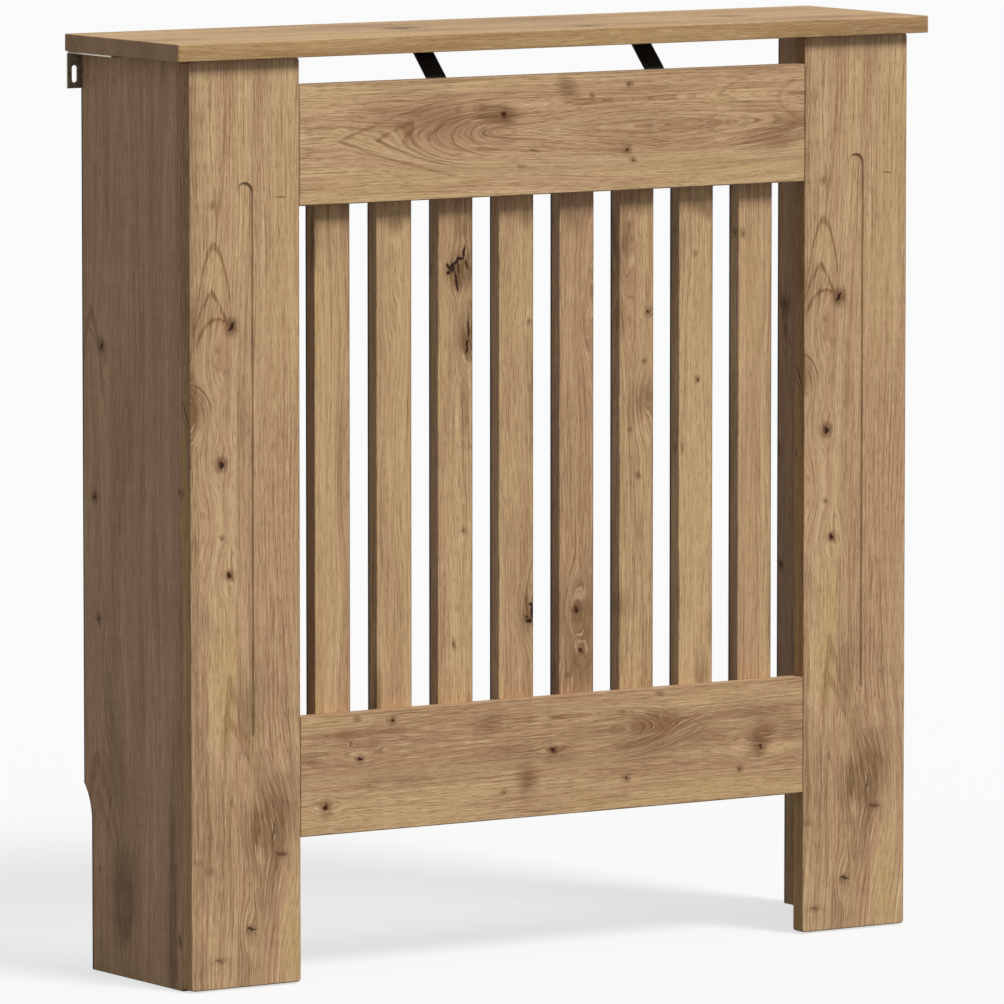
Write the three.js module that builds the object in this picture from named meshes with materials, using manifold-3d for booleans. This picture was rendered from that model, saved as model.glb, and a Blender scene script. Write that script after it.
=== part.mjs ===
// A slatted radiator cover: a shelf on two side panels, with a framed grille of upright slats in front.
// Millimetres. +X is to the right seen from the front, -Y is the front, +Z is up.
// The origin is on the floor, under the centre of the shelf.

import * as THREE from "three";
import { mergeVertices } from "three/addons/utils/BufferGeometryUtils.js";
import Module from "manifold-3d";

// Driving dimensions

const shelfWidth = 780;
const shelfDepth = 190;
const shelfThickness = 15;
const shelfCornerRadius = 3;
const overallHeight = 815;
const sideOverhang = 17; // shelf past each side panel
const frontOverhang = 10; // shelf past the posts
const softEdge = 0.8; // rounding along every board's edges

const panelThickness = 15;
const skirtingDepth = 13; // how far the wall's skirting board pushes into the side panels
const skirtingHeight = 130; // the straight part of that cut-out
const skirtingSweep = 47; // radius of the curve that leads back to the wall

const postWidth = 110;
const postThickness = 15;
const postCornerRadius = 3;
const postFootLift = 1.5; // the side panels carry the weight
const grooveWidth = 17;
const grooveLength = 482;
const grooveDepth = 2;
const grooveFoot = 213; // floor to the groove's lower end

const railHeight = 104;
const railThickness = 15;
const lowerRailLift = 127; // floor to the lower rail
const warmAirGap = 24; // upper rail to the shelf

const slatCount = 8;
const slatWidth = 36;
const slatThickness = 15;
const slatGap = 27;
const slatEndSetback = 30; // slat ends to the rails' outer edges

const braceWidth = 20;
const braceSheet = 2;
const braceSpacing = 227; // between the two braces' centres
const braceShelfTab = 26;
const braceSlatClearance = 4; // rail tab to the slat ends
const braceBendRadius = 2;

const wallBracketWidth = 14;
const wallBracketSheet = 1.5;
const wallBracketDrop = 32.5; // upright leg, below the shelf
const wallBracketReach = 75; // level leg, forward from the wall
const wallBracketBendRadius = 1.5;
const wallSlotWidth = 5;
const wallSlotLength = 15;
const wallSlotFoot = 5; // upright leg's lower edge to the slot

const screwHeadRadius = 3.5;
const screwHeadDepth = 2;
const screwShankRadius = 1.75;
const screwTip = 4;
const screwCover = 4; // wood left in front of a screw's tip
const slatScrewInset = 20; // slat's end to its screw
const bracketScrewInset = 15; // level leg's ends to its screws

const dowelRadius = 4;
const dowelChamfer = 1;
const dowelCover = 5; // wood left behind a dowel
const dowelDepth = 20; // into a board's edge
const railDowelDepth = 15; // into the rails' ends and the posts' edges
const railDowelSpacing = 60;
const postDowelInset = 120; // from the posts' ends
const shelfDowelInset = 40; // from the side panels' front and rear edges

const fit = 0.3; // between pieces that meet
const holeLead = 1; // a countersink's cut starts this far outside the surface

const arcSteps = 5;
const edgeSteps = 2;
const roundSides = 12;

// Places worked out from the dimensions

const bodyHalfWidth = shelfWidth / 2 - sideOverhang;
const wallY = shelfDepth / 2;
const frontY = -shelfDepth / 2 + frontOverhang;
const postRearY = frontY + postThickness;
const railRearY = frontY + railThickness;
const shelfUnderside = overallHeight - shelfThickness;
const carcassTop = shelfUnderside - fit;
const panelFrontY = postRearY + fit;
const panelX = bodyHalfWidth - panelThickness / 2;
const postX = bodyHalfWidth - postWidth / 2;
const openingHalfWidth = bodyHalfWidth - postWidth;
const upperRailTop = shelfUnderside - warmAirGap;
const upperRailFoot = upperRailTop - railHeight;
const slatTop = upperRailTop - slatEndSetback;
const slatFoot = lowerRailLift + slatEndSetback;
const slatRearY = railRearY + fit + slatThickness;
const slatPitch = slatWidth + slatGap;
const braceRailTab = slatEndSetback - braceSlatClearance;
const wallBracketX = bodyHalfWidth + fit + wallBracketWidth / 2;

const sides = [
  { name: "left", sign: -1 },
  { name: "right", sign: 1 },
];

// Finishes

const oak = new THREE.MeshStandardMaterial({ color: 0xb8966c, roughness: 0.62, metalness: 0 });
const beech = new THREE.MeshStandardMaterial({ color: 0xd0ab7c, roughness: 0.7, metalness: 0 });
const blackSteel = new THREE.MeshStandardMaterial({ color: 0x1a1b1c, roughness: 0.45, metalness: 0.4 });
const gunmetal = new THREE.MeshStandardMaterial({ color: 0x4b463f, roughness: 0.4, metalness: 0.8 });
const zinc = new THREE.MeshStandardMaterial({ color: 0xb9bab8, roughness: 0.35, metalness: 1 });

// Solids: joins and cuts are made between closed meshes with shared vertices

const wasm = await Module();
wasm.setup();

function toSolid(geometry) {
  const bare = geometry.clone();
  bare.deleteAttribute("normal");
  bare.deleteAttribute("uv");
  const shared = mergeVertices(bare, 1e-4);
  return new wasm.Manifold(
    new wasm.Mesh({
      numProp: 3,
      vertProperties: shared.getAttribute("position").array,
      triVerts: new Uint32Array(shared.index.array),
    }),
  );
}

function toGeometry(solid) {
  const mesh = solid.getMesh();
  const geometry = new THREE.BufferGeometry();
  geometry.setAttribute("position", new THREE.BufferAttribute(mesh.vertProperties, mesh.numProp));
  geometry.setIndex(new THREE.BufferAttribute(mesh.triVerts, 1));
  const flat = geometry.toNonIndexed();
  flat.computeVertexNormals();
  return flat;
}

// How an outline's x and y, and its thickness, lie on a board that faces the front, a side or the top
const facing = {
  front: new THREE.Matrix4().makeBasis(axis(1, 0, 0), axis(0, 0, 1), axis(0, -1, 0)),
  side: new THREE.Matrix4().makeBasis(axis(0, 1, 0), axis(0, 0, 1), axis(1, 0, 0)),
  top: new THREE.Matrix4(),
};

function axis(x, y, z) {
  return new THREE.Vector3(x, y, z);
}

// An outline made solid, with its thickness centred and its edges rounded by edgeRadius
function slab(outline, thickness, direction, edgeRadius = 0) {
  const geometry = new THREE.ExtrudeGeometry(outline, {
    depth: thickness - 2 * edgeRadius,
    curveSegments: arcSteps,
    bevelEnabled: edgeRadius > 0,
    bevelThickness: edgeRadius,
    bevelSize: edgeRadius,
    bevelOffset: -edgeRadius,
    bevelSegments: edgeSteps,
  });
  geometry.translate(0, 0, edgeRadius - thickness / 2);
  return toSolid(geometry.applyMatrix4(facing[direction]));
}

function rectangle(width, height) {
  const x = width / 2;
  const y = height / 2;
  const outline = new THREE.Shape();
  outline.moveTo(-x, -y).lineTo(x, -y).lineTo(x, y).lineTo(-x, y).closePath();
  return outline;
}

function roundedRectangle(width, height, radius) {
  const x = width / 2 - radius;
  const y = height / 2 - radius;
  const outline = new THREE.Shape();
  outline.absarc(x, -y, radius, -Math.PI / 2, 0);
  outline.absarc(x, y, radius, 0, Math.PI / 2);
  outline.absarc(-x, y, radius, Math.PI / 2, Math.PI);
  outline.absarc(-x, -y, radius, Math.PI, 1.5 * Math.PI);
  outline.closePath();
  return outline;
}

// A rectangle with half-round ends
function slotOutline(width, length) {
  const straight = (length - width) / 2;
  const outline = new THREE.Shape();
  outline.absarc(0, straight, width / 2, 0, Math.PI);
  outline.absarc(0, -straight, width / 2, Math.PI, 2 * Math.PI);
  outline.closePath();
  return outline;
}

// Sheet metal bent along a line of corners, each rounded by the sheet's inner bend radius
function bentSheetOutline(corners, sheet, innerRadius) {
  const radius = innerRadius + sheet / 2;
  const near = [];
  const far = [];
  const addStation = (point, heading) => {
    const offset = new THREE.Vector2(-heading.y, heading.x).multiplyScalar(sheet / 2);
    near.push(point.clone().add(offset));
    far.push(point.clone().sub(offset));
  };
  const headings = corners.slice(1).map((corner, i) => corner.clone().sub(corners[i]).normalize());
  addStation(corners[0], headings[0]);
  corners.slice(1, -1).forEach((corner, i) => {
    const turn = Math.atan2(headings[i].cross(headings[i + 1]), headings[i].dot(headings[i + 1]));
    const tangent = radius * Math.tan(Math.abs(turn) / 2);
    const start = corner.clone().addScaledVector(headings[i], -tangent);
    const inward = new THREE.Vector2(-headings[i].y, headings[i].x).multiplyScalar(Math.sign(turn));
    const centre = start.clone().addScaledVector(inward, radius);
    for (let step = 0; step <= arcSteps; step++) {
      const angle = (turn * step) / arcSteps;
      addStation(
        start.clone().rotateAround(centre, angle),
        headings[i].clone().rotateAround(new THREE.Vector2(), angle),
      );
    }
  });
  addStation(corners.at(-1), headings.at(-1));
  return new THREE.Shape([...near, ...far.reverse()]);
}

// Fasteners: turned about +Y with the head at the origin, then pointed along a direction.
// A fastener's hole is the same turned shape, grown by the fit all round.

const turnedAxis = axis(0, 1, 0);

function screwProfile(length) {
  return [
    [0, 0],
    [screwHeadRadius, 0],
    [screwShankRadius, screwHeadDepth],
    [screwShankRadius, length - screwTip],
    [0, length],
  ];
}

function screwHoleProfile(length) {
  return [
    [0, -holeLead],
    [screwHeadRadius + fit, -holeLead],
    [screwHeadRadius + fit, 0],
    [screwShankRadius + fit, screwHeadDepth],
    [screwShankRadius + fit, length + fit],
    [0, length + fit],
  ];
}

function dowelProfile(length) {
  return [
    [0, 0],
    [dowelRadius - dowelChamfer, 0],
    [dowelRadius, dowelChamfer],
    [dowelRadius, length - dowelChamfer],
    [dowelRadius - dowelChamfer, length],
    [0, length],
  ];
}

function dowelHoleProfile(length) {
  return [
    [0, -fit],
    [dowelRadius + fit, -fit],
    [dowelRadius + fit, length + fit],
    [0, length + fit],
  ];
}

function turned(profile) {
  const points = profile.map(([radius, height]) => new THREE.Vector2(radius, height));
  return new THREE.LatheGeometry(points, roundSides);
}

function fastener(name, material, at, direction, profile, holeProfile) {
  const quaternion = new THREE.Quaternion().setFromUnitVectors(turnedAxis, direction);
  const mesh = new THREE.Mesh(turned(profile), material);
  mesh.name = name;
  mesh.position.copy(at);
  mesh.quaternion.copy(quaternion);
  mesh.updateMatrix();
  const hole = toSolid(turned(holeProfile)).transform(mesh.matrix.elements);
  return { mesh, hole };
}

function screw(name, length, at, direction) {
  return fastener(name, zinc, at, direction, screwProfile(length), screwHoleProfile(length));
}

function dowel(name, length, at, direction) {
  return fastener(name, beech, at, direction, dowelProfile(length), dowelHoleProfile(length));
}

const toRear = axis(0, 1, 0);
const toFront = axis(0, -1, 0);
const upward = axis(0, 0, 1);

// Two screws through each slat, driven from behind into the rails
const slatCentres = Array.from({ length: slatCount }, (_, i) => (i - (slatCount - 1) / 2) * slatPitch);
const slatScrewLength = slatThickness + fit + railThickness - screwCover;
const slatScrews = slatCentres.map((x, i) =>
  [
    { end: "lower", z: slatFoot + slatScrewInset },
    { end: "upper", z: slatTop - slatScrewInset },
  ].map(({ end, z }) =>
    screw(`slat_screw_${i + 1}_${end}`, slatScrewLength, axis(x, slatRearY, z), toFront),
  ),
);

const lowerSlatScrews = slatScrews.map(([lower]) => lower);
const upperSlatScrews = slatScrews.map(([, upper]) => upper);

// One screw through each tab of a brace. The bar between the tabs rises as much as it leans back.
const braceRailScrewLength = fit + braceSheet + railThickness - screwCover;
const braceShelfScrewLength = fit + braceSheet + shelfThickness - screwCover;
const braceFootY = railRearY + fit + braceSheet / 2;
const braceTopZ = shelfUnderside - fit - braceSheet / 2;
const braceKneeY = braceFootY + braceTopZ - upperRailTop;
const braceRailScrews = sides.map(({ name, sign }) =>
  screw(
    `brace_rail_screw_${name}`,
    braceRailScrewLength,
    axis((sign * braceSpacing) / 2, braceFootY + braceSheet / 2, upperRailTop - braceRailTab / 2),
    toFront,
  ),
);
const braceShelfScrews = sides.map(({ name, sign }) =>
  screw(
    `brace_shelf_screw_${name}`,
    braceShelfScrewLength,
    axis((sign * braceSpacing) / 2, braceKneeY + braceShelfTab / 2, braceTopZ - braceSheet / 2),
    upward,
  ),
);

// Two screws through the level leg of each wall bracket
const bracketScrewLength = fit + wallBracketSheet + shelfThickness - screwCover;
const bracketScrews = sides.map(({ name, sign }) =>
  [
    { end: "front", y: wallY - wallBracketReach + bracketScrewInset },
    { end: "rear", y: wallY - bracketScrewInset },
  ].map(({ end, y }) =>
    screw(
      `wall_bracket_screw_${name}_${end}`,
      bracketScrewLength,
      axis(sign * wallBracketX, y, shelfUnderside - fit - wallBracketSheet),
      upward,
    ),
  ),
);

// Glued dowels: rails to posts, posts to side panels, and side panels to the shelf
function railDowels(rail, centreZ) {
  return sides.map(({ name, sign }) =>
    [-1, 1].map((level) =>
      dowel(
        `${rail}_dowel_${name}_${level < 0 ? "lower" : "upper"}`,
        2 * railDowelDepth,
        axis(
          sign * (openingHalfWidth - railDowelDepth),
          frontY + Math.min(postThickness, railThickness) / 2,
          centreZ + (level * railDowelSpacing) / 2,
        ),
        axis(sign, 0, 0),
      ),
    ),
  );
}
const upperRailDowels = railDowels("rail_upper", upperRailFoot + railHeight / 2);
const lowerRailDowels = railDowels("rail_lower", lowerRailLift + railHeight / 2);

const postDowelReach = postThickness - dowelCover;
const postDowels = sides.map(({ name, sign }) =>
  [
    { end: "lower", z: postFootLift + postDowelInset },
    { end: "upper", z: carcassTop - postDowelInset },
  ].map(({ end, z }) =>
    dowel(
      `post_dowel_${name}_${end}`,
      postDowelReach + dowelDepth,
      axis(sign * panelX, postRearY - postDowelReach, z),
      toRear,
    ),
  ),
);

const shelfDowelReach = shelfThickness - dowelCover;
const shelfDowels = sides.map(({ name, sign }) =>
  [
    { end: "front", y: panelFrontY + shelfDowelInset },
    { end: "rear", y: wallY - shelfDowelInset },
  ].map(({ end, y }) =>
    dowel(
      `shelf_dowel_${name}_${end}`,
      shelfDowelReach + dowelDepth,
      axis(sign * panelX, y, shelfUnderside - dowelDepth),
      upward,
    ),
  ),
);

// Boards and brackets. Each is made about its own centre, and the holes are brought to it
// from the cabinet's frame.

function piece(name, material, solid, at, holes = []) {
  const cut = holes.reduce((left, hole) => left.subtract(hole.translate(-at.x, -at.y, -at.z)), solid);
  const mesh = new THREE.Mesh(toGeometry(cut), material);
  mesh.name = name;
  mesh.position.copy(at);
  return mesh;
}

function holesOf(...fasteners) {
  return fasteners.flat(Infinity).map((one) => one.hole);
}

function makeShelf() {
  const outline = roundedRectangle(shelfWidth, shelfDepth, shelfCornerRadius);
  return piece(
    "top_panel",
    oak,
    slab(outline, shelfThickness, "top", softEdge),
    axis(0, 0, shelfUnderside + shelfThickness / 2),
    holesOf(shelfDowels, braceShelfScrews, bracketScrews),
  );
}

// Seen from the side: upright, with the skirting board's shape taken out of the foot of its rear edge
function makeSidePanel({ name, sign }, i) {
  const rearOfCutout = wallY - skirtingDepth;
  const sweepCentre = rearOfCutout + skirtingSweep;
  const sweepEnd = Math.acos((sweepCentre - wallY) / skirtingSweep);
  const outline = new THREE.Shape();
  outline.moveTo(panelFrontY, 0);
  outline.lineTo(rearOfCutout, 0);
  outline.absarc(sweepCentre, skirtingHeight, skirtingSweep, Math.PI, Math.PI - sweepEnd, true);
  outline.lineTo(wallY, carcassTop);
  outline.lineTo(panelFrontY, carcassTop);
  outline.closePath();
  return piece(
    `side_panel_${name}`,
    oak,
    slab(outline, panelThickness, "side", softEdge),
    axis(sign * panelX, 0, 0),
    holesOf(postDowels[i], shelfDowels[i]),
  );
}

// A wide flat post with a shallow round-ended groove down its face
function makePost({ name, sign }, i) {
  const height = carcassTop - postFootLift;
  const at = axis(sign * postX, frontY + postThickness / 2, postFootLift + height / 2);
  const groove = slab(slotOutline(grooveWidth, grooveLength), 2 * grooveDepth, "front").translate(
    at.x,
    frontY,
    grooveFoot + grooveLength / 2,
  );
  return piece(
    `front_post_${name}`,
    oak,
    slab(roundedRectangle(postWidth, height, postCornerRadius), postThickness, "front", softEdge),
    at,
    [groove, ...holesOf(postDowels[i], upperRailDowels[i], lowerRailDowels[i])],
  );
}

function makeRail(name, foot, holes) {
  return piece(
    name,
    oak,
    slab(rectangle(2 * (openingHalfWidth - fit), railHeight), railThickness, "front", softEdge),
    axis(0, frontY + railThickness / 2, foot + railHeight / 2),
    holes,
  );
}

function makeSlat(x, i) {
  const height = slatTop - slatFoot;
  return piece(
    `slat_${i + 1}`,
    oak,
    slab(rectangle(slatWidth, height), slatThickness, "front", softEdge),
    axis(x, slatRearY - slatThickness / 2, slatFoot + height / 2),
    holesOf(slatScrews[i]),
  );
}

// A flat bar from the back of the upper rail, leaning back at 45 degrees to the underside of the shelf
function makeBrace({ name, sign }, i) {
  const outline = bentSheetOutline(
    [
      new THREE.Vector2(braceFootY, upperRailTop - braceRailTab),
      new THREE.Vector2(braceFootY, upperRailTop),
      new THREE.Vector2(braceKneeY, braceTopZ),
      new THREE.Vector2(braceKneeY + braceShelfTab, braceTopZ),
    ],
    braceSheet,
    braceBendRadius,
  );
  return piece(
    `brace_${name}`,
    blackSteel,
    slab(outline, braceWidth, "side"),
    axis((sign * braceSpacing) / 2, 0, 0),
    holesOf(braceRailScrews[i], braceShelfScrews[i]),
  );
}

// An angle in the shelf's side overhang: a slotted upright leg on the wall, and a level leg under the shelf
function makeWallBracket({ name, sign }, i) {
  const backY = wallY - wallBracketSheet / 2;
  const levelZ = shelfUnderside - fit - wallBracketSheet / 2;
  const footZ = shelfUnderside - wallBracketDrop;
  const outline = bentSheetOutline(
    [
      new THREE.Vector2(backY, footZ),
      new THREE.Vector2(backY, levelZ),
      new THREE.Vector2(wallY - wallBracketReach, levelZ),
    ],
    wallBracketSheet,
    wallBracketBendRadius,
  );
  const slot = slab(slotOutline(wallSlotWidth, wallSlotLength), 4 * wallBracketSheet, "front").translate(
    sign * wallBracketX,
    backY,
    footZ + wallSlotFoot + wallSlotLength / 2,
  );
  return piece(
    `wall_bracket_${name}`,
    gunmetal,
    slab(outline, wallBracketWidth, "side"),
    axis(sign * wallBracketX, 0, 0),
    [slot, ...holesOf(bracketScrews[i])],
  );
}

function groupOf(name, ...members) {
  const group = new THREE.Group();
  group.name = name;
  group.add(...members.flat(Infinity).map((member) => member.mesh ?? member));
  return group;
}

const carcass = groupOf("carcass", makeShelf(), sides.map(makeSidePanel), sides.map(makePost));

const grille = groupOf(
  "grille",
  makeRail("rail_upper", upperRailFoot, holesOf(upperRailDowels, braceRailScrews, upperSlatScrews)),
  makeRail("rail_lower", lowerRailLift, holesOf(lowerRailDowels, lowerSlatScrews)),
  slatCentres.map(makeSlat),
);

const ironmongery = groupOf("ironmongery", sides.map(makeBrace), sides.map(makeWallBracket));

const fasteners = groupOf(
  "fasteners",
  slatScrews,
  braceRailScrews,
  braceShelfScrews,
  bracketScrews,
  upperRailDowels,
  lowerRailDowels,
  postDowels,
  shelfDowels,
);

const radiatorCover = new THREE.Group();
radiatorCover.name = "radiator_cover";
radiatorCover.add(carcass, grille, ironmongery, fasteners);

export default radiatorCover;
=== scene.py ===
import math

import bmesh
import bpy
from mathutils import Matrix, Vector


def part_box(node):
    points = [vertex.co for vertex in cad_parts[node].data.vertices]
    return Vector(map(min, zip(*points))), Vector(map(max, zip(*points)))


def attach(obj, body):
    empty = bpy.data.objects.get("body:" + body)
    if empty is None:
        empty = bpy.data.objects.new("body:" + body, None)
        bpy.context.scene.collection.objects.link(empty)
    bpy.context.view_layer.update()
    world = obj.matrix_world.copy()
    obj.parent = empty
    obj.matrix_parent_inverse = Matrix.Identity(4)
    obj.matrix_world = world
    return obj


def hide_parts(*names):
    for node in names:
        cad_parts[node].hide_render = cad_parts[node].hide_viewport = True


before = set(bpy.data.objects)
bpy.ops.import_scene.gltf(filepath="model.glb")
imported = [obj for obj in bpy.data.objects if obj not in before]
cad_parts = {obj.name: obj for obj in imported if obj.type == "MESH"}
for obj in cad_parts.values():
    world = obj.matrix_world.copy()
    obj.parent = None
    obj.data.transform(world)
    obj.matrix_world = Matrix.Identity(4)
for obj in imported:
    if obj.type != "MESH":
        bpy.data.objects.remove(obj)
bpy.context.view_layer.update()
mm = 0.001
print("frame loaded:", len(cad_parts), "solids")

# The camera stands at the front left, a little above the shelf, with a long lens
view = {
    "turn": 33.044,
    "rise": 6.0443,
    "lens": 366.04,
    "sensor": 36,
    "target": (-0.00095, 0, 0.39485),
    "distance": 8.9771,
    "farthest": 200,
}

turn, rise = math.radians(view["turn"]), math.radians(view["rise"])
level = math.cos(rise)
outward = Vector((-math.sin(turn) * level, -math.cos(turn) * level, math.sin(rise)))
camera = bpy.data.objects.new("camera", bpy.data.cameras.new("camera"))
camera.data.lens = view["lens"]
camera.data.sensor_width = view["sensor"]
camera.data.clip_end = view["farthest"]
camera.location = Vector(view["target"]) + outward * view["distance"]
camera.rotation_euler = outward.to_track_quat("Z", "Y").to_euler()
bpy.context.scene.collection.objects.link(camera)
bpy.context.scene.camera = camera


# A colour as it is picked on screen, 0 to 255, in the linear values that shaders take
def tone(*screen):
    linear = [((c / 255 + 0.055) / 1.055) ** 2.4 if c > 10 else c / 255 / 12.92 for c in screen]
    return (*linear, 1)


# One socket of a material, so that shader maths reads as sums
class Wire:
    def __init__(self, finish, socket):
        self.finish = finish
        self.socket = socket

    def output(self, key):
        return Wire(self.finish, self.socket.node.outputs[key])

    def maths(self, operation, *others):
        values = dict(enumerate((self, *others)))
        return self.finish.node("ShaderNodeMath", {"operation": operation}, values)

    def __add__(self, other):
        return self.maths("ADD", other)

    def __mul__(self, other):
        return self.maths("MULTIPLY", other)

    def __sub__(self, other):
        return self.maths("SUBTRACT", other)

    def __rsub__(self, other):
        return self.finish.node("ShaderNodeMath", {"operation": "SUBTRACT"}, {0: other, 1: self})

    __radd__ = __add__
    __rmul__ = __mul__

    # 0 below low, 1 above high, and smooth between
    def rise(self, low, high):
        values = {"Value": self, "From Min": low, "From Max": high}
        return self.finish.node("ShaderNodeMapRange", {"interpolation_type": "SMOOTHSTEP"}, values)


class Finish:
    def __init__(self, name):
        self.material = bpy.data.materials.new(name)
        self.material.use_nodes = True
        self.tree = self.material.node_tree
        self.tree.nodes.clear()

    def node(self, kind, settings={}, values={}, output=0):
        made = self.tree.nodes.new(kind)
        for key, value in settings.items():
            setattr(made, key, value)
        for key, value in values.items():
            if isinstance(value, Wire):
                self.tree.links.new(value.socket, made.inputs[key])
            else:
                made.inputs[key].default_value = value
        return Wire(self, made.outputs[output])

    # The mix node's colours are its inputs 6 and 7 and its output 2
    def blend(self, amount, below, above):
        colours = {0: amount, 6: below, 7: above}
        return self.node("ShaderNodeMix", {"data_type": "RGBA"}, colours, 2)

    # Noise drawn out by so many millimetres each way
    def noise(self, place, reach, seed, detail=2, roughness=0.5):
        scale = [1 / size for size in reach]
        values = {"Vector": place, "Location": (seed, seed, seed), "Scale": scale}
        laid = self.node("ShaderNodeMapping", {}, values)
        values = {"Vector": laid, "Scale": 1, "Detail": detail, "Roughness": roughness}
        return self.node("ShaderNodeTexNoise", {}, values)

    # Where a point lies from a place on the board's face, turned with it and in its reaches
    def around(self, face, across, along, wide, tall, turn=0):
        values = {"Vector": face, "Location": (across, along, 0), "Scale": (wide, tall, 1)}
        values["Rotation"] = (0, 0, math.radians(turn))
        return self.node("ShaderNodeMapping", {"vector_type": "TEXTURE"}, values)

    # 1 in the middle of a spot on the board's face, 0 at its rim
    def spot(self, face, *where):
        values = {0: self.around(face, *where)}
        return self.node("ShaderNodeTexGradient", {"gradient_type": "SPHERICAL"}, values, 1)

    # A growth ring's arch: the upper half of a pointed oval line, fading towards its feet
    def arch(self, face, *where, point, width):
        x, y, _ = self.parts(self.around(face, *where))
        oval = x.maths("ABSOLUTE").maths("POWER", point) + y.maths("ABSOLUTE").maths("POWER", point)
        line = 1 - (oval - 1).maths("ABSOLUTE").rise(width * 0.3, width)
        return line * y.rise(0, 0.5)

    # 1 at the top of a hill in the grain, falling evenly to 0 at its rim, down and up the board
    def hill(self, across, along, reach, down, up):
        along = (along * (1 / up)).maths("MAXIMUM", along * (-1 / down))
        far = self.vector(across * (1 / reach), along, 0)
        far = self.node("ShaderNodeVectorMath", {"operation": "LENGTH"}, {0: far}, 1)
        return (1 - far).maths("MAXIMUM", 0)

    def vector(self, x, y, z):
        return self.node("ShaderNodeCombineXYZ", {}, {0: x, 1: y, 2: z})

    # Object coordinates in millimetres
    def place(self):
        metres = self.node("ShaderNodeTexCoord", output="Object")
        values = {0: metres, "Scale": 1 / mm}
        return self.node("ShaderNodeVectorMath", {"operation": "SCALE"}, values)

    def parts(self, vector):
        split = self.node("ShaderNodeSeparateXYZ", {}, {0: vector})
        return [split.output(axis) for axis in range(3)]

    # The material's surface, with a relief so many millimetres high
    def surface(self, values, height, relief):
        bump = {"Height": height, "Distance": relief * mm, "Strength": 1}
        values = {**values, "Normal": self.node("ShaderNodeBump", {}, bump)}
        self.close(self.node("ShaderNodeBsdfPrincipled", {}, values))
        return self.material

    def close(self, shader, kind="ShaderNodeOutputMaterial"):
        output = self.tree.nodes.new(kind)
        self.tree.links.new(shader.socket, output.inputs["Surface"])


oakColours = {
    "pale": tone(196, 165, 117),
    "ring": tone(124, 86, 53),
    "pore": tone(92, 60, 35),
    "fleck": tone(226, 196, 154),
    "halo": tone(112, 80, 52),
    "rim": tone(92, 56, 32),
    "heart": tone(44, 25, 15),
    # painted light for the groove's shaded wall
    "cut": tone(255, 235, 190),
    # the colour of the dark edge lines, painted shade where they run along feet and lower edges
    "edgeLines": tone(34, 27, 20),
}

# The noises in oak: their reach across, along and through the board in millimetres,
# what each adds to the board's seed, its detail and, where it isn't plain, its roughness
oakNoises = {
    "swell": ((60, 300, 90), 0, 1),
    "ripple": ((13, 90, 40), 7, 2),
    "bands": ((14, 700, 100), 11, 2),
    "drift": ((19, 500, 100), 17, 1),
    "veins": ((3, 160, 20), 19, 2),
    "strength": ((38, 190, 60), 23, 1),
    "fibres": ((1.5, 90, 8), 29, 3, 0.6),
    "pores": ((0.75, 11, 5), 31, 1),
    "flecks": ((0.85, 26, 5), 37, 1),
    "shade": ((38, 220, 60), 41, 2),
    "rough": ((4, 6, 9), 43, 3, 0.6),
}

oakLook = {
    "wrap": 0.8,  # how far the grain moves on for each millimetre round an edge
    "mottle": 0.9,
    "darkest": 0.9,
    "palest": 0.85,
    "drift": 5,  # how many rings their spacing strays by
    "fibres": 1.35,
    "pores": 0.32,
    "flecks": 0.36,
    "ground": 0.09,  # how much of the rings' colour lies everywhere
    "frayed": (7, -8),  # how far knots' outlines wander, across and along
    "torn": (3, -5),  # and those of cracks and arches
    "crackDepth": (4, 8),  # where cracks run out inside the board
    "hollow": 1.5,  # how deep knots and cracks lie, against the pores
    # how strongly painted light lightens the groove's shaded wall
    "cut": 0.48,
    "roughness": 0.55,
    "specular": 0.12,
    "relief": 0.08,
}

# What a board's print has where it says nothing else
plainPrint = {
    "straw": tone(202, 170, 126),
    "blush": tone(184, 148, 113),
    "stainAndShade": tone(112, 85, 56),
    "swell": 20,
    "ripple": 2.4,
    "pitch": 4.4,
    "contrast": 1,
    "ringing": 0.36,
    "veining": 0.26,
    "depthShade": 0,
    **{marks: [] for marks in ("bends", "arches", "knots", "cracks", "shades", "edgeLines")},
}
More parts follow.
